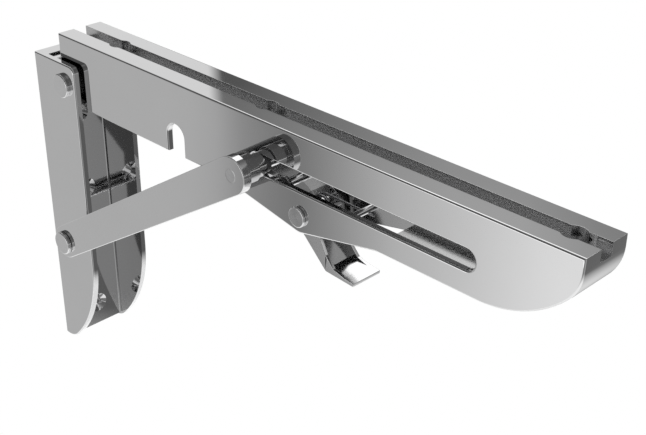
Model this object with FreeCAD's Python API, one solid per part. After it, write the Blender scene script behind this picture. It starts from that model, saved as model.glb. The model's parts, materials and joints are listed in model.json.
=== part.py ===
import FreeCAD, Part
import math
import os

# Folding shelf bracket in mirror-polished stainless steel.
# Millimetres. X runs out from the wall, Y across the bracket, Z up.
# The origin is on the wall face, midway between the outer wall screws.

V = FreeCAD.Vector
os.makedirs("parts", exist_ok=True)

# Fits
seat_gap = 0.2            # flat faces on pieces that move past each other
face_gap = 0.3            # collar face to arm plate
run_gap = 0.05            # shaft in its bore, on the radius
slot_gap = 0.10           # roller in the long slot, on the radius

# Shelf arm
arm_top = 105.5           # height of the shelf face over the origin
arm_back = 16.0
arm_front = 317.0
arm_half = 12.68
arm_deep = 34.8
arm_plate = 3.0
arm_web = 8.0
arm_edge = 0.85           # rolled outer edges
groove_half = 3.48
groove_deep = 5.3
nose_radius = 51.0        # big curve under the front end
nose_long = 42.7
nose_centre_x = arm_front - nose_long
nose_corner = 20.0        # smaller curve that turns up into the front face
nose_open_x = arm_front - 7.5   # the front wall reaches back to here, ahead of the front screw
shelf_screw_in = 13.0     # front screw from the front end
shelf_screw_x = (arm_back + 33.0, arm_back + 135.5, arm_front - shelf_screw_in)
shelf_screw_r = 2.6
shelf_relief_r = 4.9

# Wall arm
wall_plate = 3.0
washer_thick = 1.37
wall_half = arm_half + seat_gap + washer_thick + wall_plate
wall_web = 7.8
wall_front = 33.3
wall_edge = 0.8
wall_bend = 0.9           # inside corners beside the web
wall_top_drop = 12.3      # below the shelf face
wall_foot_drop = 178.0
wall_corner = 3.6
foot_curve = 74.0
foot_high = 56.0
foot_start_drop = wall_foot_drop - foot_high
foot_toe = 8.0
wall_screw_drop = (48.0, 91.0, wall_foot_drop - 15.0)
wall_screw_r = 2.8
wall_sink_r = 5.4

# Pivots, as distance from the wall and drop below the shelf face
hinge_x, hinge_drop = 23.4, 23.5
brace_x, brace_drop = 28.0, 104.7
slide_x, slide_drop = 160.2, 20.2
latch_x, latch_drop = 183.5, 35.8
fold_turn = 86.0          # degrees from open to the brace pin's tube in the notch

# Pins and rings
hinge_r = 3.5
brace_pin_r = 3.0
latch_pin_r = 2.5
head_r = 6.0
head_high = 2.0
small_head_r = 4.6
small_head_high = 1.6
peen_high = 0.5
tube_r = 4.0
spacer_r = 4.9
washer_r = 7.0
sleeve_r = 5.5

# Brace
brace_half_wide = 8.45
brace_thick = 4.0
brace_edge = 0.4
brace_off = 7.35
brace_back = wall_half + brace_off   # inner face of each brace, from the middle
collar_big_r = 6.1
collar_small_r = 5.2
collar_small_long = 4.52
collar_step = arm_half + collar_small_long   # where the axle's collar meets the brace's
stud_r = 3.0

# Sliding axle
axle_r = 3.0
slot_half = 4.45
slot_end_in = 43.6        # front end of the slot from the arm's front end
slot_end_x = arm_front - slot_end_in
slot_lead = 1.5           # free slot behind the axle in the open pose

# Underside of the arm
notch_x = 104.4
notch_r = 5.8
notch_drop = 26.0
ear_x = latch_x
ear_drop = latch_drop - 0.2
ear_r = 7.9
ear_from = latch_x - 48.5
ear_to = latch_x + 42.5

# Latch lever, with its outline as distances from its pin
latch_side_gap = 1.68
latch_half = arm_half - arm_plate - latch_side_gap
latch_sheet = 1.6
catch_r = 2.0
catch_x, catch_drop = latch_x - 15.5, latch_drop - 6.6
spring_wire = 0.55
spring_r = 4.9
spring_coils = 2
spring_pitch = 2.6
floor_leg_long = 13.0
stop_x = latch_x + 24.5
stop_r = 1.6


def up(drop):
    return arm_top - drop


def at(x, drop, y=0.0):
    return V(x, y, up(drop))


def rod(radius, x, drop, y0, y1):
    return Part.makeCylinder(radius, y1 - y0, at(x, drop, y0), V(0, 1, 0))


def ring(outer, inner, x, drop, y0, y1):
    return rod(outer, x, drop, y0, y1).cut(rod(inner, x, drop, y0, y1))


def block(x0, x1, y0, y1, z0, z1):
    return Part.makeBox(x1 - x0, y1 - y0, z1 - z0, V(x0, y0, z0))


def sheet(points, y0, y1):
    corners = [V(x, y0, up(drop)) for x, drop in points]
    wire = Part.makePolygon(corners + [corners[0]])
    return Part.Face(wire).extrude(V(0, y1 - y0, 0))


def side_edges(shape, half):
    found = []
    for edge in shape.Edges:
        box = edge.BoundBox
        if abs(abs(box.YMin) - half) < 1e-4 and abs(box.YMax - box.YMin) < 1e-4:
            found.append(edge)
    return found


def stadium(x0, drop0, x1, drop1, radius, y0, y1):
    run_x = x1 - x0
    run_z = drop0 - drop1
    size = math.hypot(run_x, run_z)
    off_x = -run_z / size * radius
    off_z = run_x / size * radius
    corners = [(x0 + off_x, drop0 - off_z), (x1 + off_x, drop1 - off_z),
               (x1 - off_x, drop1 + off_z), (x0 - off_x, drop0 + off_z)]
    bar = sheet(corners, y0, y1)
    bar = bar.fuse(rod(radius, x0, drop0, y0, y1))
    bar = bar.fuse(rod(radius, x1, drop1, y0, y1))
    return bar.removeSplitter()


def head(radius, high, x, drop, y, way):
    low = min(y, y + way * high)
    disc = rod(radius, x, drop, low, low + high)
    rim = [e for e in disc.Edges
           if abs(e.BoundBox.YMin - (y + way * high)) < 1e-4
           and abs(e.BoundBox.YMax - (y + way * high)) < 1e-4]
    return disc.makeFillet(0.6, rim)


def save(shape, name):
    if shape.ShapeType != "Solid":
        solids = shape.Solids
        if len(solids) != 1:
            raise ValueError(name + " has " + str(len(solids)) + " solids")
        shape = solids[0]
    if not shape.isValid():
        raise ValueError(name + " is not valid")
    shape.exportStep("parts/" + name + ".step")
    print(name, round(shape.Volume, 1), len(shape.Faces))


# Wall arm: two side plates on a thick screwed web, rounded at the foot.


def arc_points(mid_x, mid_drop, radius, angle):
    turn = math.radians(angle)
    return V(mid_x + radius * math.cos(turn), -wall_half, up(mid_drop + radius * math.sin(turn)))


foot_mid_x = wall_front - foot_curve
toe_drop = wall_foot_drop - foot_toe
foot_turn = math.degrees(math.asin((toe_drop + 5.0 - foot_start_drop) / foot_curve))
toe_start = arc_points(foot_mid_x, foot_start_drop, foot_curve, foot_turn)
toe_end = V(0.0, -wall_half, up(wall_foot_drop))
toe_mid = V(toe_start.x * 0.62, -wall_half, up(wall_foot_drop) + 0.55)
corner_a = V(wall_front - wall_corner, -wall_half, up(wall_top_drop))
corner_b = V(wall_front, -wall_half, up(wall_top_drop + wall_corner))
corner_m = V(wall_front - wall_corner * 0.293, -wall_half, up(wall_top_drop + wall_corner * 0.293))
front_low = V(wall_front, -wall_half, up(foot_start_drop))
curve_mid = arc_points(foot_mid_x, foot_start_drop, foot_curve, foot_turn / 2)
back_top = V(0.0, -wall_half, up(wall_top_drop))
wall_wire = Part.Wire([
    Part.LineSegment(back_top, corner_a).toShape(),
    Part.Arc(corner_a, corner_m, corner_b).toShape(),
    Part.LineSegment(corner_b, front_low).toShape(),
    Part.Arc(front_low, curve_mid, toe_start).toShape(),
    Part.Arc(toe_start, toe_mid, toe_end).toShape(),
    Part.LineSegment(toe_end, back_top).toShape()])
wall = Part.Face(wall_wire).extrude(V(0, 2 * wall_half, 0))
wall = wall.makeFillet(wall_edge, side_edges(wall, wall_half))
wall_inside = wall_half - wall_plate
hollow = block(wall_web, wall_front + 1, -wall_inside, wall_inside, up(wall_foot_drop + 1), up(0))
corners = [e for e in hollow.Edges if e.BoundBox.XMax < wall_web + 0.01 and e.BoundBox.YLength < 0.01]
wall = wall.cut(hollow.makeFillet(wall_bend, corners))
web_foot = up(wall_foot_drop - 2.0)
wall = wall.cut(block(-1, wall_front, -wall_inside, wall_inside, up(wall_foot_drop + 1), web_foot))
for drop in wall_screw_drop:
    hole = Part.makeCylinder(wall_screw_r, wall_web + 2, V(-1, 0, up(drop)), V(1, 0, 0))
    sink_deep = wall_sink_r - wall_screw_r
    sink = Part.makeCone(wall_screw_r, wall_sink_r, sink_deep, V(wall_web - sink_deep, 0, up(drop)), V(1, 0, 0))
    wall = wall.cut(hole).cut(sink)
wall = wall.cut(rod(hinge_r, hinge_x, hinge_drop, -wall_half - 1, wall_half + 1))
wall = wall.cut(rod(brace_pin_r, brace_x, brace_drop, -wall_half - 1, wall_half + 1))
save(wall, "wall_channel")

# Shelf arm: one outline for both plates, then the hollow and the groove are cut.
corner_x = arm_front - nose_corner
curve_drop = arm_deep - nose_radius
corner_drop = curve_drop + math.sqrt((nose_radius - nose_corner) ** 2 - (corner_x - nose_centre_x) ** 2)
meet_turn = math.atan2(corner_drop - curve_drop, corner_x - nose_centre_x)


def side(x, drop):
    return V(x, -arm_half, up(drop))


def around(x, drop, radius, turn):
    return side(x + radius * math.cos(turn), drop + radius * math.sin(turn))


def touch(from_x, sign):
    # Point where a line from the flat underside touches the round of the ear.
    away_x = ear_x - from_x
    away_z = ear_drop - arm_deep
    far = math.hypot(away_x, away_z)
    lean = math.atan2(away_z, away_x * sign) + math.asin(ear_r / far)
    return ear_x - sign * ear_r * math.sin(lean), ear_drop + ear_r * math.cos(lean)


left_x, left_drop = touch(ear_from, 1)
right_x, right_drop = touch(ear_to, -1)
nose_meet = around(nose_centre_x, curve_drop, nose_radius, meet_turn)
nose_mid = around(nose_centre_x, curve_drop, nose_radius, (meet_turn + math.pi / 2) / 2)
corner_mid = around(corner_x, corner_drop, nose_corner, meet_turn / 2)
arm_wire = Part.Wire([
    Part.LineSegment(side(arm_back, 0), side(arm_front, 0)).toShape(),
    Part.LineSegment(side(arm_front, 0), side(arm_front, corner_drop)).toShape(),
    Part.Arc(side(arm_front, corner_drop), corner_mid, nose_meet).toShape(),
    Part.Arc(nose_meet, nose_mid, side(nose_centre_x, arm_deep)).toShape(),
    Part.LineSegment(side(nose_centre_x, arm_deep), side(ear_to, arm_deep)).toShape(),
    Part.LineSegment(side(ear_to, arm_deep), side(right_x, right_drop)).toShape(),
    Part.Arc(side(right_x, right_drop), side(ear_x, ear_drop + ear_r), side(left_x, left_drop)).toShape(),
    Part.LineSegment(side(left_x, left_drop), side(ear_from, arm_deep)).toShape(),
    Part.LineSegment(side(ear_from, arm_deep), side(arm_back, arm_deep)).toShape(),
    Part.LineSegment(side(arm_back, arm_deep), side(arm_back, 0)).toShape()])
arm = Part.Face(arm_wire).extrude(V(0, 2 * arm_half, 0))
through = arm_half + 1
arm = arm.cut(rod(notch_r, notch_x, notch_drop, -through, through))
arm = arm.cut(block(notch_x - notch_r, notch_x + notch_r, -through, through, up(arm_deep + 1), up(notch_drop)))
slot_from = slide_x - slot_lead
slot_to = slot_end_x - slot_half
arm = arm.cut(stadium(slot_from, slide_drop, slot_to, slide_drop, slot_half, -through, through))
arm_inside = arm_half - arm_plate
hollow_low = up(ear_drop + 2 * ear_r)
hollow = block(arm_back - 1, nose_open_x, -arm_inside, arm_inside, hollow_low, up(arm_web))
nose_room = rod(nose_corner - arm_plate, corner_x, corner_drop, -arm_inside, arm_inside)
nose_room = nose_room.common(block(nose_open_x - 5, arm_front, -arm_inside, arm_inside, up(arm_deep), up(arm_web)))
arm = arm.cut(hollow.fuse(nose_room))
groove = block(arm_back - 1, arm_front + 1, -groove_half, groove_half, up(groove_deep), up(-2))
for x in shelf_screw_x:
    groove = groove.fuse(Part.makeCylinder(shelf_relief_r, groove_deep + 2, V(x, 0, up(groove_deep)), V(0, 0, 1)))
    groove = groove.fuse(Part.makeCylinder(shelf_screw_r, arm_web, V(x, 0, up(arm_web + 1)), V(0, 0, 1)))
arm = arm.cut(groove)
arm = arm.makeFillet(arm_edge, side_edges(arm, arm_half))
arm = arm.cut(rod(hinge_r + run_gap, hinge_x, hinge_drop, -through, through))
arm = arm.cut(rod(latch_pin_r, latch_x, latch_drop, -through, through))
save(arm, "arm_channel")

# Hinge pin with a turned head on one side and a ring under the peened end on the other.
far_end = wall_half + head_high + peen_high
pin = rod(hinge_r, hinge_x, hinge_drop, -wall_half, far_end)
save(pin.fuse(head(head_r, head_high, hinge_x, hinge_drop, -wall_half, -1)), "hinge_pin")
far_ring = head(head_r, head_high, hinge_x, hinge_drop, wall_half, 1)
save(far_ring.cut(rod(hinge_r, hinge_x, hinge_drop, 0, 40)), "hinge_pin_ring")
washer_in = arm_half + seat_gap
for name, low, high in (("near", -wall_inside, -washer_in), ("far", washer_in, wall_inside)):
    save(ring(washer_r, hinge_r, hinge_x, hinge_drop, low, high), "hinge_washer_" + name)
save(ring(sleeve_r, hinge_r + run_gap, hinge_x, hinge_drop, -arm_inside, arm_inside), "hinge_sleeve")

# Brace pin, its inner tube and the spacers that hold the braces off the wall arm.
brace_front = brace_back + brace_thick
pin_out = brace_front + seat_gap
pin = rod(brace_pin_r, brace_x, brace_drop, -pin_out, pin_out + head_high + peen_high)
save(pin.fuse(head(head_r, head_high, brace_x, brace_drop, -pin_out, -1)), "brace_pin")
far_ring = head(head_r, head_high, brace_x, brace_drop, pin_out, 1)
save(far_ring.cut(rod(brace_pin_r, brace_x, brace_drop, 0, 60)), "brace_pin_ring")
save(ring(tube_r, brace_pin_r, brace_x, brace_drop, -wall_inside, wall_inside), "brace_pin_tube")
spacer_out = brace_back - seat_gap
for name, low, high in (("near", -spacer_out, -wall_half), ("far", wall_half, spacer_out)):
    save(ring(spacer_r, brace_pin_r, brace_x, brace_drop, low, high), "brace_spacer_" + name)

# Braces, with a collar and a flush stud each. The collars run on beyond the latch pin's head.
for name, way in (("near", -1), ("far", 1)):
    low = min(way * brace_back, way * brace_front)
    brace = stadium(brace_x, brace_drop, slide_x, slide_drop, brace_half_wide, low, low + brace_thick)
    outer = [e for e in brace.Edges
             if abs(abs(e.BoundBox.YMin) - brace_front) < 1e-4 and abs(abs(e.BoundBox.YMax) - brace_front) < 1e-4]
    brace = brace.makeFillet(brace_edge, outer)
    brace = brace.cut(rod(brace_pin_r + run_gap, brace_x, brace_drop, -60, 60))
    brace = brace.cut(rod(stud_r, slide_x, slide_drop, -60, 60))
    save(brace, "brace_" + name)
    spans = sorted((way * (collar_step + seat_gap), way * brace_back))
    save(ring(collar_big_r, stud_r, slide_x, slide_drop, spans[0], spans[1]), "brace_collar_" + name)
    spans = sorted((way * (collar_step + 2 * seat_gap), way * brace_front))
    save(rod(stud_r, slide_x, slide_drop, spans[0], spans[1]), "brace_stud_" + name)
    spans = sorted((way * (arm_half + face_gap), way * collar_step))
    save(ring(collar_small_r, axle_r, slide_x, slide_drop, spans[0], spans[1]), "axle_collar_" + name)

# Sliding axle and its two rollers in the slot.
axle_half = collar_step - seat_gap
save(rod(axle_r, slide_x, slide_drop, -axle_half, axle_half), "slide_axle")
roller_r = slot_half - slot_gap
roller_out = arm_half - seat_gap
for name, low, high in (("near", -roller_out, -arm_inside), ("far", arm_inside, roller_out)):
    save(ring(roller_r, axle_r, slide_x, slide_drop, low, high), "slide_roller_" + name)

# Latch lever: two cheeks on a bent floor that ends in a thumb plate.


def by_latch(offsets):
    return [(latch_x + x, latch_drop + drop) for x, drop in offsets]


cheek_points = by_latch([(-18.9, -4.2), (-18.6, -10.5), (-13.0, -11.7), (-7.0, -7.4), (0.0, -6.9), (5.7, -2.8),
                         (7.1, 8.1), (11.1, 15.8), (15.5, 20.6), (21.5, 22.1), (27.1, 22.6), (26.9, 24.1),
                         (11.1, 23.2), (-1.9, 10.8), (-8.1, 3.4), (-13.5, -1.6)])
bend_x = [latch_x + x for x in (-18.9, -13.0, 5.7, 11.1, -8.1)]
cheek = sheet(cheek_points, -latch_half, latch_half)
upright = [e for e in cheek.Edges if abs(e.BoundBox.YMax - e.BoundBox.YMin) > 2 * latch_half - 0.01]
bends = [e for e in upright if min(abs(e.BoundBox.XMin - x) for x in bend_x) < 0.02]
cheek = cheek.makeFillet(1.6, bends)
inner = latch_half - latch_sheet
floor_top = by_latch([(-23.5, -15.8), (-23.5, 9.2), (-10.9, 9.2), (-10.9, -1.4), (-6.5, 2.6), (-0.5, 9.8),
                      (11.9, 21.5), (28.5, 22.5), (46.5, 22.5), (46.5, -15.8)])
lever = cheek.cut(sheet(floor_top, -inner, inner))
lever = lever.cut(rod(latch_pin_r + run_gap, latch_x, latch_drop, -20, 20))
lever = lever.cut(rod(catch_r, catch_x, catch_drop, -20, 20))
save(lever, "latch_lever")
save(rod(catch_r, catch_x, catch_drop, -latch_half, latch_half), "latch_catch")
save(ring(3.9, latch_pin_r + run_gap, latch_x, latch_drop, -inner, inner), "latch_sleeve")
pin = rod(latch_pin_r, latch_x, latch_drop, -arm_half, arm_half + small_head_high + peen_high)
save(pin.fuse(head(small_head_r, small_head_high, latch_x, latch_drop, -arm_half, -1)), "latch_pin")
far_ring = head(small_head_r, small_head_high, latch_x, latch_drop, arm_half, 1)
save(far_ring.cut(rod(latch_pin_r, latch_x, latch_drop, 0, 40)), "latch_pin_ring")
latch_out = latch_half + seat_gap
for name, low, high in (("near", -arm_inside, -latch_out), ("far", latch_out, arm_inside)):
    save(ring(5.0, latch_pin_r, latch_x, latch_drop, low, high), "latch_washer_" + name)

# Return spring wound on the sleeve. One leg bears up on a bar between the arm plates,
# the other lies on the lever's floor.
floor_a = floor_top[5]
floor_b = floor_top[6]
floor_lean = math.atan2(floor_a[1] - floor_b[1], floor_b[0] - floor_a[0])
clear = (floor_a[1] - latch_drop) * math.cos(floor_lean) - (floor_a[0] - latch_x) * math.sin(floor_lean)
lean = floor_lean - math.asin((clear - spring_r - spring_wire) / floor_leg_long)
spring_turns = spring_coils + (180 + math.degrees(lean)) / 360
coil_high = spring_pitch * spring_turns
helix = Part.makeHelix(spring_pitch, coil_high, spring_r)
quarter = FreeCAD.Rotation(V(0, 1, 0), -90).multiply(FreeCAD.Rotation(V(1, 0, 0), 90))
helix.Placement = FreeCAD.Placement(at(latch_x, latch_drop, coil_high / 2), quarter)
start = helix.Vertexes[0].Point
end = helix.Vertexes[-1].Point
way = helix.Edges[0].tangentAt(helix.Edges[0].FirstParameter)
wire_end = Part.Wire([Part.makeCircle(spring_wire, start, way)])
coil = Part.Wire(helix.Edges).makePipeShell([wire_end], True, True)
if coil.ShapeType != "Solid":
    coil = coil.Solids[0]
bar_leg = Part.makeCylinder(spring_wire, stop_x - latch_x + 3.0, start, V(1, 0, 0))
floor_leg = Part.makeCylinder(spring_wire, floor_leg_long, end, V(math.cos(lean), 0, math.sin(lean)))
spring = coil.fuse(bar_leg).fuse(floor_leg)
for point in (start, end):
    spring = spring.fuse(Part.makeSphere(spring_wire, point))
save(spring, "latch_spring")
stop_drop = latch_drop - spring_r - spring_wire - stop_r
save(rod(stop_r, stop_x, stop_drop, -arm_inside, arm_inside), "spring_bar")

# Figures for the joints. The axle runs at a fixed height in the arm, so the folded
# place follows from the two pivots and the brace length.
brace_long = math.hypot(slide_x - brace_x, brace_drop - slide_drop)
turn = math.radians(fold_turn)
away_x = brace_x - hinge_x
away_z = hinge_drop - brace_drop
along = away_x * math.cos(turn) - away_z * math.sin(turn)
above = away_x * math.sin(turn) + away_z * math.cos(turn)
rise = hinge_drop - slide_drop
reach = math.sqrt(brace_long ** 2 - (rise - above) ** 2)
travel = along + reach - (slide_x - hinge_x)
open_angle = math.degrees(math.atan2(brace_drop - slide_drop, slide_x - brace_x))
fold_angle = math.degrees(math.atan2(rise - above, reach)) - fold_turn
print("tube in the arm when folded", round(hinge_x + along, 2), round(hinge_drop - above, 2))
print("brace length", round(brace_long, 3), "travel", round(travel, 3))
print("brace turn", round(open_angle - fold_angle, 4), "slot room", round(slot_to - slide_x, 2))
print("ratios", round((open_angle - fold_angle) / fold_turn, 6), round(travel / 1000 / turn, 7))
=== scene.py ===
import json
import math

import bmesh
import bpy
from mathutils import Matrix, Vector


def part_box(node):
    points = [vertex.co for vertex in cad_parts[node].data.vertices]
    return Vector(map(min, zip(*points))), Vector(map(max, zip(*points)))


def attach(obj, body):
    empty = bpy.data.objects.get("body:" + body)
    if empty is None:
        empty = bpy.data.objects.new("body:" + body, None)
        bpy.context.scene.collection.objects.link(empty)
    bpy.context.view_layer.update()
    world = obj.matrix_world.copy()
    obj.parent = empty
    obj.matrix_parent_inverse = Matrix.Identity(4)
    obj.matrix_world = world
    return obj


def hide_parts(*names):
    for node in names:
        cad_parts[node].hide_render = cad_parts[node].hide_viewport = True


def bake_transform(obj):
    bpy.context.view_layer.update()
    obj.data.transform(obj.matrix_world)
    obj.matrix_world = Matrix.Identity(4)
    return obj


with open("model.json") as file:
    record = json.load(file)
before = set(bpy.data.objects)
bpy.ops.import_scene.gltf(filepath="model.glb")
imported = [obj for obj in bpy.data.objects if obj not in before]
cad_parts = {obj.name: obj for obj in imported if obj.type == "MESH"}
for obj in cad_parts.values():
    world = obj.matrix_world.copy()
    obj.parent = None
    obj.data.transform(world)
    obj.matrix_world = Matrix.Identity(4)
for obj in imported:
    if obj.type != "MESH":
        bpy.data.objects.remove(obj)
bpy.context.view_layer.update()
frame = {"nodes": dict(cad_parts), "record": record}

# %% [markdown]
# # A folding shelf bracket in polished steel
# The real bracket is a wall arm, a shelf arm that folds down onto it, a brace on each side
# that runs on an axle in a long slot, and a small sprung lever under the shelf arm. This
# file gives each solid its finish: cleaned shading, broken edges, polish lines and a
# studio to reflect. Lengths are in metres, X runs out from the wall, Z is up.

# %% [markdown]
# ## Places on the bracket
# Turned pieces carry rings of tool marks round their own axis, so each finish has to know
# where that axis is. The CAD nodes give it: the middle of a round piece's box is its axis.


# %% Find the axis of a round piece
def axis_of(node):
    low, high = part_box(node)
    middle = (low + high) / 2
    return (middle.x, 0.0, middle.z)


HINGE_AXIS = axis_of("hinge_sleeve")
BRACE_AXIS = axis_of("brace_pin_tube")
SLIDE_AXIS = axis_of("slide_axle")
LATCH_AXIS = axis_of("latch_sleeve")
for axis in (HINGE_AXIS, BRACE_AXIS, SLIDE_AXIS, LATCH_AXIS):
    print("axis at", [round(v, 4) for v in axis])

# %% [markdown]
# ## Writing materials as sums
# A material is a tree of nodes. Adding each node by hand hides the idea behind it, so one
# small class wraps a socket: `1 - mask * 0.5` then adds the two Math nodes by itself.
# Every other kind of node comes from one function, `add_node`, which takes the node's type,
# its settings, and the values or links of its sockets.


# %% Add one node
def add_node(tree, kind, settings=None, values=None):
    made = tree.nodes.new(kind)
    for name, value in (settings or {}).items():
        if name == "stops":
            ramp = made.color_ramp
            ramp.elements[0].position, ramp.elements[0].color = value[0]
            ramp.elements[1].position, ramp.elements[1].color = value[-1]
            for place, colour in value[1:-1]:
                ramp.elements.new(place).color = colour
        else:
            setattr(made, name, value)
    for name, value in (values or {}).items():
        if isinstance(value, Field):
            tree.links.new(value.socket, made.inputs[name])
        elif isinstance(value, bpy.types.NodeSocket):
            tree.links.new(value, made.inputs[name])
        else:
            made.inputs[name].default_value = value
    return made


# %% Wrap a socket so that it can be used in sums
class Field:
    def __init__(self, tree, socket):
        self.tree = tree
        self.socket = socket

    def __add__(self, other):
        return math_node("ADD", self, other)

    def __radd__(self, other):
        return math_node("ADD", other, self)

    def __sub__(self, other):
        return math_node("SUBTRACT", self, other)

    def __rsub__(self, other):
        return math_node("SUBTRACT", other, self)

    def __mul__(self, other):
        return math_node("MULTIPLY", self, other)

    def __rmul__(self, other):
        return math_node("MULTIPLY", other, self)

    def __truediv__(self, other):
        return math_node("DIVIDE", self, other)

    def __rtruediv__(self, other):
        return math_node("DIVIDE", other, self)

    def __pow__(self, other):
        return math_node("POWER", self, other)

    def clamped(self):
        return math_node("MINIMUM", math_node("MAXIMUM", self, 0.0), 1.0)


def math_node(operation, *values):
    tree = next(value.tree for value in values if isinstance(value, Field))
    made = add_node(tree, "ShaderNodeMath", {"operation": operation}, dict(enumerate(values)))
    return Field(tree, made.outputs[0])


# %% [markdown]
# ## What every finish is made of
# Each finish on this bracket varies three things: a colour between two greys, a roughness,
# and a little relief in the normal. These helpers start a material, lay a pattern on the
# piece and join the three at the end, so that each finish below is only its own recipe.


# %% Start a material with its shader and its coordinates
def new_finish(name):
    material = bpy.data.materials.new(name)
    material.use_nodes = True
    tree = material.node_tree
    tree.nodes.clear()
    shader = add_node(tree, "ShaderNodeBsdfPrincipled")
    add_node(tree, "ShaderNodeOutputMaterial", None, {"Surface": shader.outputs["BSDF"]})
    place = add_node(tree, "ShaderNodeTexCoord").outputs["Object"]
    return material, tree, shader, place


# %% Lay a pattern on a piece
def turned_place(tree, place, angle=0.0, centre=(0.0, 0.0, 0.0), stretch=(1.0, 1.0, 1.0)):
    # Centre a pattern on an axis, turn it about Y and stretch it along its own directions.
    moved = add_node(tree, "ShaderNodeMapping", {"vector_type": "POINT"},
                     {"Vector": place, "Location": tuple(-v for v in centre)})
    spun = add_node(tree, "ShaderNodeMapping", {"vector_type": "POINT"},
                    {"Vector": moved.outputs[0], "Rotation": (0.0, angle, 0.0), "Scale": stretch})
    return spun.outputs[0]


def noise_at(tree, place, scale, detail, roughness):
    made = add_node(tree, "ShaderNodeTexNoise", {"noise_dimensions": "3D"},
                    {"Vector": place, "Scale": scale, "Detail": detail, "Roughness": roughness})
    return Field(tree, made.outputs["Fac"])


# %% Turn patterns into colour, relief and a finished shader
def between_greys(tree, share, dark, light):
    made = add_node(tree, "ShaderNodeMix", {"data_type": "RGBA"},
                    {0: share, 6: (*dark, 1.0), 7: (*light, 1.0)})
    return made.outputs[2]


def relief(tree, height, strength, depth, over=None):
    values = {"Strength": strength, "Distance": depth, "Height": height}
    if over is not None:
        values["Normal"] = over
    return add_node(tree, "ShaderNodeBump", None, values).outputs[0]


def feed_shader(tree, shader, colour, rough, normal, metallic=1.0):
    tree.links.new(colour, shader.inputs["Base Color"])
    tree.links.new(rough.clamped().socket, shader.inputs["Roughness"])
    tree.links.new(normal, shader.inputs["Normal"])
    shader.inputs["Metallic"].default_value = metallic


# %% [markdown]
# ## Polished sheet steel
# The arms and braces are cut from stainless plate and buffed. Buffing leaves three things:
# a mirror, hair-fine lines along the stroke, and slow waves that bend the reflections.
# Stretched noise gives the lines, wide soft noise gives the waves and the faint cloudiness
# of handled metal. Only the roughness, colour and normal change, so it bakes cleanly.

# %% Polished sheet
SHEET_COLOUR = (0.66, 0.66, 0.662)
# the hollow's darker grey is painted shade for the recess inside the shelf arm
HOLLOW_PAINTED_SHADE_COLOUR = (0.42, 0.42, 0.422)
GROOVE_COLOUR = (0.60, 0.60, 0.602)
# the floor under the nose is painted paler than the plate: painted light seen through the slot
NOSE_FLOOR_PAINTED_LIGHT_COLOUR = (0.95, 0.95, 0.95)
CLOUD_SHADE = 0.95                    # the clouded parts against the clear ones
LINE_STRETCH = (6.0, 420.0, 420.0)    # long along the stroke, fine across it
LINE_SCALE, CLOUD_SCALE, WAVE_SCALE = 6.0, 38.0, 17.0
LINE_ROUGH, CLOUD_ROUGH = 0.02, 0.03
LINE_DEPTH = 0.00002
WAVE_STRENGTH, WAVE_DEPTH = 0.12, 0.0003


def polished_sheet(name, rough, lines, angle=0.0, colour=SHEET_COLOUR):
    # Rough is the middle roughness, and lines is how strongly the buffing lines show.
    material, tree, shader, place = new_finish(name)
    along = turned_place(tree, place, angle, stretch=LINE_STRETCH)
    hair = noise_at(tree, along, LINE_SCALE, detail=3.0, roughness=0.6)
    cloud = noise_at(tree, place, CLOUD_SCALE, detail=3.0, roughness=0.55)
    wave = noise_at(tree, place, WAVE_SCALE, detail=1.0, roughness=0.4)
    shade = between_greys(tree, cloud, [c * CLOUD_SHADE for c in colour], colour)
    spread = rough + (cloud - 0.5) * CLOUD_ROUGH + (hair - 0.5) * LINE_ROUGH
    lift = relief(tree, hair, lines, LINE_DEPTH)
    swell = relief(tree, wave, WAVE_STRENGTH, WAVE_DEPTH, over=lift)
    feed_shader(tree, shader, shade, spread, swell)
    return material


brace_lean = math.atan2(SLIDE_AXIS[2] - BRACE_AXIS[2], SLIDE_AXIS[0] - BRACE_AXIS[0])
lever_lean = math.radians(50)
upright = math.pi / 2
shelf_sheet = polished_sheet("shelf_arm_polish", rough=0.04, lines=0.02)
wall_sheet = polished_sheet("wall_arm_polish", rough=0.055, lines=0.03, angle=upright)
brace_sheet = polished_sheet("brace_polish", rough=0.07, lines=0.03, angle=brace_lean)
lever_sheet = polished_sheet("lever_polish", rough=0.13, lines=0.05, angle=lever_lean)
cut_edge = polished_sheet("tumbled_cut_edge", rough=0.14, lines=0.10)
# darker grey of the hollow: painted shade in the recess; its roughness is the unbuffed finish
hollow_sheet_with_painted_shade = polished_sheet("unbuffed_hollow", rough=0.13, lines=0.08, colour=HOLLOW_PAINTED_SHADE_COLOUR)
groove_sheet = polished_sheet("milled_groove", rough=0.22, lines=0.08, colour=GROOVE_COLOUR)
# paler grey of the floor under the nose: painted light
floor_sheet_painted_light = polished_sheet("floor_under_nose", rough=0.16, lines=0.08, colour=NOSE_FLOOR_PAINTED_LIGHT_COLOUR)
print("brace leans", round(math.degrees(brace_lean), 2), "degrees")

# %% [markdown]
# ## Turned pins, collars and rings
# Pins come off a lathe, so their marks are circles round the pin. The distance from the
# axis drives a fine wave, and that wave moves the normal a little: the highlight then runs
# as two opposed fans across the flat heads, which is how turned ends are told from pressed.

# %% Turned steel
TURNED_DARK, TURNED_LIGHT = (0.60, 0.60, 0.605), (0.66, 0.66, 0.66)
TURNED_ROUGH = 0.10
TURNED_CLOUD_SCALE = 220.0
TURNED_CLOUD_ROUGH, TOOL_ROUGH = 0.06, 0.01
RING_WAVE, FEED_WAVE = 14000.0, 16000.0    # tool marks on ends and sides, in radians per metre
FEED_SHARE = 0.5
TOOL_STRENGTH, TOOL_DEPTH = 0.07, 0.00002


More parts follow.
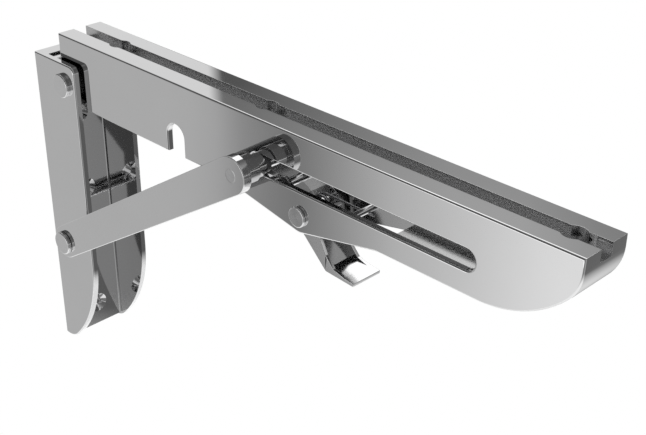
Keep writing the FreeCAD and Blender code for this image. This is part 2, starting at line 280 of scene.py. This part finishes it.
def turned_steel(name, centre):
    material, tree, shader, place = new_finish(name)
    centred = turned_place(tree, place, centre=centre)
    parts = add_node(tree, "ShaderNodeSeparateXYZ", None, {0: centred})
    across, length, upward = (Field(tree, parts.outputs[i]) for i in range(3))
    radius = (across * across + upward * upward) ** 0.5
    tool = math_node("SINE", radius * RING_WAVE)
    feed = math_node("SINE", length * FEED_WAVE)
    cloud = noise_at(tree, place, TURNED_CLOUD_SCALE, detail=3.0, roughness=0.6)
    shade = between_greys(tree, cloud, TURNED_DARK, TURNED_LIGHT)
    rough = TURNED_ROUGH + (cloud - 0.5) * TURNED_CLOUD_ROUGH + tool * TOOL_ROUGH
    lift = relief(tree, tool + feed * FEED_SHARE, TOOL_STRENGTH, TOOL_DEPTH)
    feed_shader(tree, shader, shade, rough, lift)
    return material


hinge_turned = turned_steel("hinge_pin_turned", HINGE_AXIS)
brace_turned = turned_steel("brace_pin_turned", BRACE_AXIS)
slide_turned = turned_steel("slide_axle_turned", SLIDE_AXIS)
latch_turned = turned_steel("latch_pin_turned", LATCH_AXIS)
print("rings on the pins are", round(math.tau / RING_WAVE * 1000, 2), "mm apart")

# %% [markdown]
# ## Moulded acetal
# The washers and the rollers that run in the slot are black acetal: a satin plastic with a
# faint mould grain, greyer where it rubs. Fine noise lifts the grain, and wider noise
# makes the rubbed places both greyer and duller.

# %% Moulded plastic
ACETAL_DARK, ACETAL_RUBBED = (0.018, 0.018, 0.019), (0.06, 0.06, 0.062)
ACETAL_ROUGH, RUB_ROUGH = 0.38, 0.2
GRAIN_SCALE, RUB_SCALE = 2600.0, 160.0
GRAIN_STRENGTH, GRAIN_DEPTH = 0.2, 0.00004


def moulded_plastic(name):
    material, tree, shader, place = new_finish(name)
    grain = noise_at(tree, place, GRAIN_SCALE, detail=2.0, roughness=0.6)
    rub = noise_at(tree, place, RUB_SCALE, detail=3.0, roughness=0.6)
    shade = between_greys(tree, rub, ACETAL_DARK, ACETAL_RUBBED)
    rough = ACETAL_ROUGH + (rub - 0.5) * RUB_ROUGH
    lift = relief(tree, grain, GRAIN_STRENGTH, GRAIN_DEPTH)
    feed_shader(tree, shader, shade, rough, lift, metallic=0.0)
    return material


black_acetal = moulded_plastic("black_acetal")
print("plastic finish:", black_acetal.name)

# %% [markdown]
# ## Spring wire
# The spring is drawn wire, darker than the plate, with fine marks from the die. Plain fine
# noise is enough for them, since a 1 mm wire shows little more than a broken highlight.

# %% Drawn wire
WIRE_DARK, WIRE_LIGHT = (0.36, 0.36, 0.37), (0.52, 0.52, 0.53)
WIRE_ROUGH, DIE_ROUGH = 0.24, 0.16
DIE_SCALE = 900.0
DIE_STRENGTH, DIE_DEPTH = 0.15, 0.00003


def drawn_wire(name):
    material, tree, shader, place = new_finish(name)
    marks = noise_at(tree, place, DIE_SCALE, detail=3.0, roughness=0.6)
    shade = between_greys(tree, marks, WIRE_DARK, WIRE_LIGHT)
    rough = WIRE_ROUGH + (marks - 0.5) * DIE_ROUGH
    lift = relief(tree, marks, DIE_STRENGTH, DIE_DEPTH)
    feed_shader(tree, shader, shade, rough, lift)
    return material


spring_steel = drawn_wire("spring_wire_drawn")
print("wire finish:", spring_steel.name)

# %% [markdown]
# ## From loose triangles to clean plate
# A CAD file arrives as loose triangles. A mirror finish shows every one of them, so each
# node is copied, its corners are merged and its flat faces are made whole again. A small
# bevel breaks the sharp edges, as tumbling does on the real plates, and gives each edge
# its thin bright line. Weighted normals then keep the wide flat faces truly flat to light.

# %% Clean a copy of a node
SAME_POINT = 1e-6
SAME_PLANE = math.radians(0.25)
SHARP = math.radians(32)
EDGE_BREAK = 0.00016
BREAK_SEGMENTS = 2
FLAT_FACE_WEIGHT = 100


def apply_modifiers(piece):
    graph = bpy.context.evaluated_depsgraph_get()
    mesh = bpy.data.meshes.new_from_object(piece.evaluated_get(graph))
    piece.modifiers.clear()
    old = piece.data
    piece.data = mesh
    bpy.data.meshes.remove(old)
    mesh.name = piece.name
    return piece


def clean_copy(node, add=None):
    work = bmesh.new()
    work.from_mesh(frame["nodes"][node].data)
    bmesh.ops.remove_doubles(work, verts=work.verts, dist=SAME_POINT)
    bmesh.ops.dissolve_limit(work, angle_limit=SAME_PLANE, verts=work.verts, edges=work.edges)
    if add:
        add(work)
    mesh = bpy.data.meshes.new(node + "_finished")
    work.to_mesh(mesh)
    work.free()
    mesh.shade_smooth()
    piece = bpy.data.objects.new(node + "_finished", mesh)
    bpy.context.scene.collection.objects.link(piece)
    bevel = piece.modifiers.new("broken_edge", "BEVEL")
    bevel.limit_method = "ANGLE"
    bevel.angle_limit = SHARP
    bevel.width = EDGE_BREAK
    bevel.segments = BREAK_SEGMENTS
    bpy.context.view_layer.update()
    apply_modifiers(piece)
    piece.data.set_sharp_from_angle(angle=SHARP)
    weigh = piece.modifiers.new("flat_faces_lead", "WEIGHTED_NORMAL")
    weigh.keep_sharp = True
    weigh.weight = FLAT_FACE_WEIGHT
    bpy.context.view_layer.update()
    return apply_modifiers(piece)


# %% [markdown]
# ## Dressing a node
# A dressed piece takes the place of its CAD node, says which slot of the material list it
# belongs to, and rides on the same body as the node did. A piece with more than one finish
# has a choice, a function from a face to the number of its finish. A piece that gets a
# shape of its own as well has a function that adds it, before the edges are broken.

# %% Dress a node and fix it to its body
bodies = frame["record"]["behaviour"]["bodies"]
body_of = {node: body for body, nodes in bodies.items() for node in nodes}


def dress(node, finishes, choice=None, add=None):
    piece = clean_copy(node, add)
    piece.data.materials.clear()
    for finish in finishes:
        piece.data.materials.append(finish)
    if choice:
        for face in piece.data.polygons:
            face.material_index = choice(face)
    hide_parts(node)
    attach(piece, body_of[node])
    return piece


# %% [markdown]
# ## The floor under the nose
# On the real shelf arm a strip closes the front of the hollow from below. Through the slot
# it shows as a dull floor that stops in a straight line across, with the far slot mirrored
# in it as a light band. Its grey is painted paler than the plate's, as painted light. It
# could be a piece of its own, but it is part of the same sheet, so it is added to the arm's
# mesh as one closed shell. Its section is followed from its back end along the underside
# and up the round of the nose, until it meets the front wall.

# %% Floor under the nose
arm_low, arm_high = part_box("arm_channel")
ARM_DEEP = 0.0348             # how high the arm's plates are
NOSE_ROUND = 0.0510           # radius of the round under the nose
NOSE_LONG = 0.0427            # from the middle of that round to the front
NOSE_FLOOR_BACK = 0.2272      # the floor's back end, from the wall
NOSE_FLOOR_TOP = 0.0042       # its upper side, above the plates' lower edge
NOSE_FLOOR_UNDER = 0.0012     # and its underside
NOSE_FLOOR_HALF = 0.0097      # half its width, just into the plates
NOSE_FLOOR_END = math.radians(44)
NOSE_FLOOR_STEPS = 24


def nose_floor_ring(turn, back=None):
    outer, inner = NOSE_ROUND - NOSE_FLOOR_UNDER, NOSE_ROUND - NOSE_FLOOR_TOP
    for radius, side in ((outer, -1), (outer, 1), (inner, 1), (inner, -1)):
        x = back or arm_high.x - NOSE_LONG + radius * math.cos(turn)
        z = arm_high.z - ARM_DEEP + NOSE_ROUND - radius * math.sin(turn)
        yield x, side * NOSE_FLOOR_HALF, z


def add_nose_floor(work):
    down = math.pi / 2
    turns = [down + (NOSE_FLOOR_END - down) * i / NOSE_FLOOR_STEPS
             for i in range(NOSE_FLOOR_STEPS + 1)]
    sections = [nose_floor_ring(down, NOSE_FLOOR_BACK)] + [nose_floor_ring(turn) for turn in turns]
    rings = [[work.verts.new(corner) for corner in section] for section in sections]
    made = [work.faces.new(rings[0]), work.faces.new(rings[-1])]
    for one, two in zip(rings, rings[1:]):
        for a, b in ((0, 1), (1, 2), (2, 3), (3, 0)):
            made.append(work.faces.new((one[a], one[b], two[b], two[a])))
    bmesh.ops.recalc_face_normals(work, faces=made)
    print("floor under the nose:", len(made), "faces")


# %% [markdown]
# ## The plates
# The wall arm, the shelf arm, the two braces and the latch lever are all sheet, buffed on
# their wide faces. On the braces and the lever the cut edges are only tumbled, so these get
# a rougher finish. A buffing wheel doesn't reach into the shelf arm's hollow or its groove,
# which stay duller. The hollow is also painted a darker grey, as painted shade in the recess.
# Which face is which is read from where it lies and where it looks.

# %% Tell the buffed faces from the rest
SIDEWAYS = 0.5                # a wide face looks more to the side than this,
STRAIGHT_UP = 0.9             # or more upwards than this
SKIN = 0.0003                 # a face this near the arm's back end or top is on its outside
HOLLOW_HALF = 0.0100          # half the width of the hollow, and a little more
NOSE_WALL = 0.0074            # how thick the front wall is
WEB_DEEP = 0.0078             # faces above this line the groove, those below it the hollow
NOSE_FLOOR_DEEP = 0.0300      # all of the nose floor's flat part lies below this
BUFFED, HOLLOW, GROOVE, NOSE_FLOOR = range(4)
CUT_EDGE = 1


def buffed_or_cut(face):
    narrow = abs(face.normal.y) <= SIDEWAYS and face.normal.z <= STRAIGHT_UP
    return CUT_EDGE if narrow else BUFFED


def shelf_arm_finish(face):
    place = face.center
    along = arm_low.x + SKIN < place.x < arm_high.x - NOSE_WALL
    if not along or abs(place.y) > HOLLOW_HALF or place.z > arm_high.z - SKIN:
        return BUFFED
    if place.x > NOSE_FLOOR_BACK and place.z < arm_high.z - NOSE_FLOOR_DEEP:
        return BUFFED if face.normal.z < 0 else NOSE_FLOOR
    return GROOVE if place.z > arm_high.z - WEB_DEEP else HOLLOW


# %% Plates
shelf_finishes = [shelf_sheet, hollow_sheet_with_painted_shade, groove_sheet, floor_sheet_painted_light]
plates = {"wall_channel": ([wall_sheet], None, None),
          "arm_channel": (shelf_finishes, shelf_arm_finish, add_nose_floor),
          "brace_near": ([brace_sheet, cut_edge], buffed_or_cut, None),
          "brace_far": ([brace_sheet, cut_edge], buffed_or_cut, None),
          "latch_lever": ([lever_sheet, cut_edge], buffed_or_cut, None)}
for node, (finishes, choice, add) in plates.items():
    made = dress(node, finishes, choice, add)
    other = sum(1 for face in made.data.polygons if face.material_index)
    print(node, len(made.data.polygons), "faces,", other, "of them not buffed")

# %% [markdown]
# ## The pins and what turns on them
# Each pin has a turned head on the near side and a ring under its peened end on the far
# side. All the round pieces on one pivot share a finish that is centred on that pivot.

# %% Turned pieces
turned = {
    hinge_turned: ["hinge_pin", "hinge_pin_ring", "hinge_sleeve"],
    brace_turned: ["brace_pin", "brace_pin_ring", "brace_pin_tube",
                   "brace_spacer_near", "brace_spacer_far"],
    slide_turned: ["brace_collar_near", "brace_collar_far", "brace_stud_near", "brace_stud_far",
                   "slide_axle", "axle_collar_near", "axle_collar_far"],
    latch_turned: ["latch_pin", "latch_pin_ring", "latch_sleeve", "latch_catch", "spring_bar"]}
for finish, nodes in turned.items():
    for node in nodes:
        dress(node, [finish])
    print(finish.name, len(nodes), "pieces")

# %% [markdown]
# ## Washers and rollers
# A washer keeps each pair of polished plates apart, and a roller on each side carries the
# axle along the slot. They are plain plastic rings, so the CAD shapes need only the finish.

# %% Washers and rollers
plastic = ("hinge_washer_near", "hinge_washer_far", "latch_washer_near", "latch_washer_far",
           "slide_roller_near", "slide_roller_far")
for node in plastic:
    dress(node, [black_acetal])
print(black_acetal.name, len(plastic), "pieces")

# %% [markdown]
# ## The return spring
# The spring is one wire: a leg that bears up on a bar in the shelf arm, two and a third
# turns round the lever's sleeve, and a leg that lies on the lever's floor. A path of
# points is all that differs from any other wire, so Geometry Nodes do the rest: they turn
# the path into a curve and sweep a round of the wire's size along it.

# %% The wire's path
WIRE = 0.00055
COIL = 0.0049
BAR_LEG = 0.0275
LEVER_LEG = 0.013
COIL_TURN = math.radians(850.8)
STEPS = 96
wire_low, wire_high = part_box("latch_spring")
coil_wide = wire_high.y - wire_low.y - 2 * WIRE


def coil_point(turn):
    return Vector((LATCH_AXIS[0] - COIL * math.sin(turn),
                   coil_wide * (0.5 - turn / COIL_TURN),
                   LATCH_AXIS[2] + COIL * math.cos(turn)))


path = [coil_point(COIL_TURN * i / STEPS) for i in range(STEPS + 1)]
away = Vector((-math.cos(COIL_TURN), 0.0, -math.sin(COIL_TURN)))
path = [path[0] + Vector((BAR_LEG, 0, 0))] + path + [path[-1] + away * LEVER_LEG]
wire_long = sum((b - a).length for a, b in zip(path, path[1:]))
print("wire is", round(wire_long * 1000, 1), "mm long")


# %% Sweep the wire along its path
def sweep_tree():
    tree = bpy.data.node_groups.new("spring_sweep", "GeometryNodeTree")
    for name, kind in (("Path", "Geometry"), ("Wire radius", "Float"),
                       ("Round points", "Int"), ("Finish", "Material")):
        tree.interface.new_socket(name, in_out="INPUT", socket_type="NodeSocket" + kind)
    tree.interface.new_socket("Wire", in_out="OUTPUT", socket_type="NodeSocketGeometry")
    given = add_node(tree, "NodeGroupInput").outputs
    line = add_node(tree, "GeometryNodeMeshToCurve", None, {"Mesh": given["Path"]})
    section = add_node(tree, "GeometryNodeCurvePrimitiveCircle", {"mode": "RADIUS"},
                       {"Resolution": given["Round points"], "Radius": given["Wire radius"]})
    swept = add_node(tree, "GeometryNodeCurveToMesh", None,
                     {"Curve": line.outputs[0], "Profile Curve": section.outputs["Curve"],
                      "Fill Caps": True})
    smooth = add_node(tree, "GeometryNodeSetShadeSmooth", None, {"Geometry": swept.outputs[0]})
    real = add_node(tree, "GeometryNodeRealizeInstances", None, {"Geometry": smooth.outputs[0]})
    done = add_node(tree, "GeometryNodeSetMaterial", None,
                    {"Geometry": real.outputs[0], "Material": given["Finish"]})
    add_node(tree, "NodeGroupOutput", None, {0: done.outputs[0]})
    return tree


def run_tree(piece, tree, **inputs):
    worker = piece.modifiers.new(tree.name, "NODES")
    worker.node_group = tree
    sockets = {s.name.replace(" ", "_"): s.identifier
               for s in tree.interface.items_tree if s.in_out == "INPUT"}
    for name, value in inputs.items():
        worker[sockets[name]] = value
    bpy.context.view_layer.update()
    return apply_modifiers(piece)


# %% [markdown]
# On the real bracket the leg on the bar stays with the shelf arm and the coil winds as the
# lever turns. Here the wire is one fixed mesh in place of the CAD spring, which is hidden.

# %% The spring
ROUND_POINTS = 16
wire_mesh = bpy.data.meshes.new("latch_spring_wire")
wire_mesh.from_pydata(path, [(i, i + 1) for i in range(len(path) - 1)], [])
spring = bpy.data.objects.new("latch_spring_wire", wire_mesh)
bpy.context.scene.collection.objects.link(spring)
run_tree(spring, sweep_tree(), Wire_radius=WIRE, Round_points=ROUND_POINTS, Finish=spring_steel)
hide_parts("latch_spring")
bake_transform(spring)
print("spring has", len(spring.data.polygons), "faces")

# %% [markdown]
# ## The camera
# A product shot of a long part is taken from some way off with a longish lens, so that
# its sides stay nearly parallel. The place and the three turns below put the camera where
# the wall arm stands left, the shelf arm runs to the right and the top face just shows.

# %% Camera
CAMERA_PLACE = (0.48355, -0.30037, 0.29366)
HEADING, TILT, ROLL = (math.radians(v) for v in (44.828, 61.635, 0.446))
lens = bpy.data.cameras.new("shot_camera")
lens.sensor_width = 36.0
lens.lens = 64.54
lens.clip_start = 0.01
camera = bpy.data.objects.new("shot_camera", lens)
bpy.context.scene.collection.objects.link(camera)
turns = Matrix.Rotation(HEADING, 4, "Z") @ Matrix.Rotation(TILT, 4, "X")
turns = turns @ Matrix.Rotation(ROLL, 4, "Z")
camera.matrix_world = Matrix.Translation(CAMERA_PLACE) @ turns
bpy.context.scene.camera = camera
bpy.context.scene.view_settings.view_transform = "Standard"
print("camera with a", round(lens.lens, 1), "mm lens")

# %% [markdown]
# ## A studio for a mirror
# Polished steel has hardly any colour of its own: it shows the room. So the room is the
# real material here. It could be built of lamps and cards, but a mirror sees only in which
# direction they stand, so each is written as a level over a range of directions. Heading
# is counted in degrees from X towards Y, and height is 1 overhead and -1 underfoot.

# %% Which way a ray looks
world = bpy.data.worlds.new("studio_room")
world.use_nodes = True
sky = world.node_tree
sky.nodes.clear()
looking = add_node(sky, "ShaderNodeTexCoord").outputs["Generated"]
parts = add_node(sky, "ShaderNodeSeparateXYZ", None, {0: looking})
east, north, height = (Field(sky, parts.outputs[i]) for i in range(3))
heading = math_node("FRACT", math_node("ARCTAN2", north, east) / math.tau + 1.0)
print("room:", world.name)


# %% Levels over a range of directions
def blend_between(value, low, high):
    return ((value - low) / (high - low)).clamped()


def window(value, rise, fall):
    # Grows from 0 to 1 over the rise, and goes back to 0 over the fall.
    return blend_between(value, *rise) * (1.0 - blend_between(value, *fall))


def of_circle(*degrees):
    return [v / 360.0 for v in degrees]


def headings(rise, fall):
    return window(heading, of_circle(*rise), of_circle(*fall))


def mixed(first, second, share):
    return first + (second - first) * share


# %% [markdown]
# Two rings of panels stand round the bracket, one above the horizon and one below it. Each
# is a ramp over the heading: pale cloth, with grey flags between. The upper ring also has
# one hard edge, which gives the top face its sharp change from light to dark. A ramp is
# only as fine as 1.4 degrees, so that edge is added to it afterwards.

# %% Two rings round the room
UPPER_RING = [
    (0, 0.55), (18, 0.85), (32, 0.80), (48, 0.40), (62, 0.24), (78, 0.14), (92, 0.11),
    (106, 0.20), (114, 0.36), (119.5, 0.43), (124, 0.52), (128, 0.49), (131, 0.43),
    (134, 0.35), (137.5, 0.27), (139.9, 0.205), (145, 0.21), (150, 0.93), (160, 1.02),
    (170, 0.95), (182, 0.42), (192, 0.13), (220, 0.12), (240, 0.12), (262, 0.14),
    (290, 0.15), (322, 0.16), (345, 0.30), (360, 0.55)]
LOWER_RING = [
    (0, 0.50), (18, 0.26), (32, 0.14), (52, 0.13), (70, 0.24), (90, 0.30), (112, 0.36),
    (126, 0.26), (142, 0.26), (156, 0.50), (174, 0.72), (192, 0.66), (206, 0.60),
    (217.8, 0.60), (219.4, 0.54), (221, 0.35), (223.6, 0.26), (225.6, 0.38), (227.3, 0.50),
    (229, 0.64), (232, 0.76), (235, 0.90), (238.5, 1.07), (250, 1.10), (266, 0.70),
    (284, 0.36), (300, 0.24), (316, 0.24), (330, 0.46), (360, 0.50)]
HORIZON = (-0.03, 0.0)
SHARP_SIDE = (140.2, 140.9)           # the hard edge
SHARP_SIDE_END = (152, 160)
SHARP_SIDE_LEVEL = 0.93


def ring_level(stops):
    # A ramp holds colours up to 1, so it stores half of each level.
    stops = [(place / 360.0, (level / 2, level / 2, level / 2, 1.0)) for place, level in stops]
    ramp = add_node(sky, "ShaderNodeValToRGB", {"stops": stops}, {0: heading})
    split = add_node(sky, "ShaderNodeSeparateColor", None, {0: ramp.outputs[0]})
    return Field(sky, split.outputs[0]) * 2.0


above = blend_between(height, *HORIZON)
upper = mixed(ring_level(UPPER_RING), SHARP_SIDE_LEVEL, headings(SHARP_SIDE, SHARP_SIDE_END))
print("rings have", len(UPPER_RING) + len(LOWER_RING), "stops")

# %% [markdown]
# Cards and panels finish the room. A dark card with a straight edge along X lies under the
# dark side, so that the far half of the top is a shade darker than the near half. Along
# such an edge, height over north is fixed. A lit strip lies along the horizon, and a low
# bright card next to it edges the front of the near face.

# %% The dark card
CARD_EDGE = (0.619, 0.634)            # height over north
CARD_START = (95, 105)
CARD_DROP = 0.10
card = (1.0 - blend_between(height / north, *CARD_EDGE)) * headings(CARD_START, SHARP_SIDE)
level = mixed(ring_level(LOWER_RING), upper - card * CARD_DROP, above)
print("dark card takes", CARD_DROP, "off the upper ring")

# %% The lit strip and the low card
STRIP_BOTTOM, LOW_CARD_BOTTOM, BAND_TOP = (-0.075, -0.045), (-0.37, -0.29), (-0.03, -0.005)
STRIP_START, STRIP_END, STRIP_LEVEL = (262, 275), (335, 348), 1.4
LOW_CARD_START, LOW_CARD_END, LOW_CARD_LEVEL = (231, 236), (262, 272), 1.8
strip = window(height, STRIP_BOTTOM, BAND_TOP) * headings(STRIP_START, STRIP_END)
low_card = window(height, LOW_CARD_BOTTOM, BAND_TOP) * headings(LOW_CARD_START, LOW_CARD_END)
level = mixed(mixed(level, STRIP_LEVEL, strip), LOW_CARD_LEVEL, low_card)
print("strip at", STRIP_LEVEL, "and low card at", LOW_CARD_LEVEL)

# %% [markdown]
# A high panel whitens the thumb plate and the rolled edges. Its lower edge climbs with the
# heading, so the rolled edge turns white only in the arm's front. Overhead the room is
# grey, and underfoot it is bright, as a white table is under a lamp.

# %% The high panel, the ceiling and the table
PANEL_BOTTOM = (0.545, 0.575)
PANEL_START, PANEL_END, PANEL_LEVEL = (98, 104), (177, 187), 1.7
CLIMB_FROM, CLIMB = (131, 146), 0.13
OVERHEAD, OVERHEAD_LEVEL = (0.80, 0.95), 0.42
UNDERFOOT, UNDERFOOT_LEVEL = (0.56, 0.74), 1.25
climb = blend_between(heading, *of_circle(*CLIMB_FROM)) * CLIMB
panel = blend_between(height - climb, *PANEL_BOTTOM) * headings(PANEL_START, PANEL_END)
level = mixed(level, PANEL_LEVEL, panel)
level = mixed(level, OVERHEAD_LEVEL, blend_between(height, *OVERHEAD))
level = mixed(level, UNDERFOOT_LEVEL, blend_between(height * -1.0, *UNDERFOOT))
print("panel at", PANEL_LEVEL, "and table at", UNDERFOOT_LEVEL)

# %% [markdown]
# The collars on the axle carry one small clear highlight. A lamp could give it, but the
# room is already a list of directions, so it is a small round box in one of them: the
# closer a ray points to its middle, the more it sees of it.

# %% A small soft box, which gives the collars their highlight
BOX_HEADING, BOX_HEIGHT, BOX_WIDTH = (math.radians(v) for v in (112, 45, 7))
BOX_FADE_OUTER, BOX_FADE_INNER = 1.25, 0.8
BOX_LEVEL = 1.5
box_way = (math.cos(BOX_HEADING) * math.cos(BOX_HEIGHT),
           math.sin(BOX_HEADING) * math.cos(BOX_HEIGHT), math.sin(BOX_HEIGHT))
facing = add_node(sky, "ShaderNodeVectorMath", {"operation": "DOT_PRODUCT"},
                  {0: looking, 1: box_way})
nearness = Field(sky, facing.outputs["Value"])
box = blend_between(nearness, math.cos(BOX_WIDTH * BOX_FADE_OUTER),
                    math.cos(BOX_WIDTH * BOX_FADE_INNER))
level = mixed(level, BOX_LEVEL, box)
print("soft box towards", [round(v, 3) for v in box_way])

# %% [markdown]
# Only a mirror should see the panels. Rough things see the plain level of the whole room,
# which is smooth and free of noise, and the camera sees a plain white backdrop.

# %% Choose what each kind of ray sees
ROOM_LEVEL = 0.95
WHITE = (1.0, 1.0, 1.0, 1.0)
ray = add_node(sky, "ShaderNodeLightPath")
mirrored = Field(sky, ray.outputs["Is Glossy Ray"])
level = mixed(ROOM_LEVEL, level, mirrored)
room = add_node(sky, "ShaderNodeBackground", None, {"Color": WHITE, "Strength": level})
white = add_node(sky, "ShaderNodeBackground", None, {"Color": WHITE, "Strength": 1.0})
seen = Field(sky, ray.outputs["Is Camera Ray"]) + Field(sky, ray.outputs["Is Transmission Ray"])
chosen = add_node(sky, "ShaderNodeMixShader", None,
                  {0: seen.clamped(), 1: room.outputs[0], 2: white.outputs[0]})
add_node(sky, "ShaderNodeOutputWorld", None, {"Surface": chosen.outputs[0]})
bpy.context.scene.world = world
print("room level for rough things", ROOM_LEVEL)

# %% [markdown]
# ## The studio floor
# The bracket stands clear of a round pale floor. The floor fades out before its rim, so no
# edge shows against the backdrop, and it keeps the bracket's soft shadow. A little glow
# brings it up to the white of the backdrop.

# %% Studio floor
GROUND_MIDDLE = (0.15, 0.0, -0.30)
GROUND_RADIUS = 0.27
GROUND_POINTS = 96
GROUND_FADE = 0.55                    # the share of the radius over which it fades out
GROUND_COLOUR = (0.82, 0.82, 0.82, 1.0)
GROUND_GLOW = 0.22
rim = [(GROUND_MIDDLE[0] + GROUND_RADIUS * math.cos(math.tau * i / GROUND_POINTS),
        GROUND_RADIUS * math.sin(math.tau * i / GROUND_POINTS), GROUND_MIDDLE[2])
       for i in range(GROUND_POINTS)]
floor_mesh = bpy.data.meshes.new("studio_floor")
floor_mesh.from_pydata(rim, [], [list(range(GROUND_POINTS))])
floor = bpy.data.objects.new("studio_floor", floor_mesh)
bpy.context.scene.collection.objects.link(floor)
print("studio floor is", round(2 * GROUND_RADIUS, 2), "m across")

# %% Its finish
pale, tree, shader, place = new_finish("pale_floor")
spot = add_node(tree, "ShaderNodeVectorMath", {"operation": "DISTANCE"},
                {0: place, 1: GROUND_MIDDLE})
from_middle = Field(tree, spot.outputs["Value"])
fade = ((GROUND_RADIUS - from_middle) / (GROUND_RADIUS * GROUND_FADE)).clamped()
shader.inputs["Base Color"].default_value = GROUND_COLOUR
shader.inputs["Roughness"].default_value = 0.9
shader.inputs["Specular IOR Level"].default_value = 0.1
shader.inputs["Emission Strength"].default_value = 1.0
ray = add_node(tree, "ShaderNodeLightPath")
shows = Field(tree, ray.outputs["Is Camera Ray"]) + Field(tree, ray.outputs["Is Glossy Ray"])
lift = (shows + Field(tree, ray.outputs["Is Transmission Ray"])).clamped() * GROUND_GLOW
glow = add_node(tree, "ShaderNodeCombineColor", None, {0: lift, 1: lift, 2: lift})
tree.links.new(glow.outputs[0], shader.inputs["Emission Color"])
tree.links.new(fade.socket, shader.inputs["Alpha"])
floor_mesh.materials.append(pale)
print("floor fades over", round(GROUND_RADIUS * GROUND_FADE, 3), "m")

# %% [markdown]
# ## The key light
# The room lights the mirrors, but plastic and wire are too rough to show it. One soft round
# lamp models them and throws the shadow on the floor. Mirrors don't see it, so it adds no
# spot to the plates.

# %% Soft key light for the plastic, the wire and the floor's shadow
KEY_PLACE = (0.45, -0.35, 1.0)
KEY_AIM = Vector((0.15, 0.0, 0.0))
key = bpy.data.lights.new("soft_key", "AREA")
key.shape = "DISK"
key.size = 0.7
key.energy = 3.0
key_lamp = bpy.data.objects.new("soft_key", key)
key_lamp.location = KEY_PLACE
key_lamp.rotation_euler = (KEY_AIM - key_lamp.location).to_track_quat("-Z", "Y").to_euler()
key_lamp.visible_glossy = False
bpy.context.scene.collection.objects.link(key_lamp)
print("key light of", key.energy, "W")
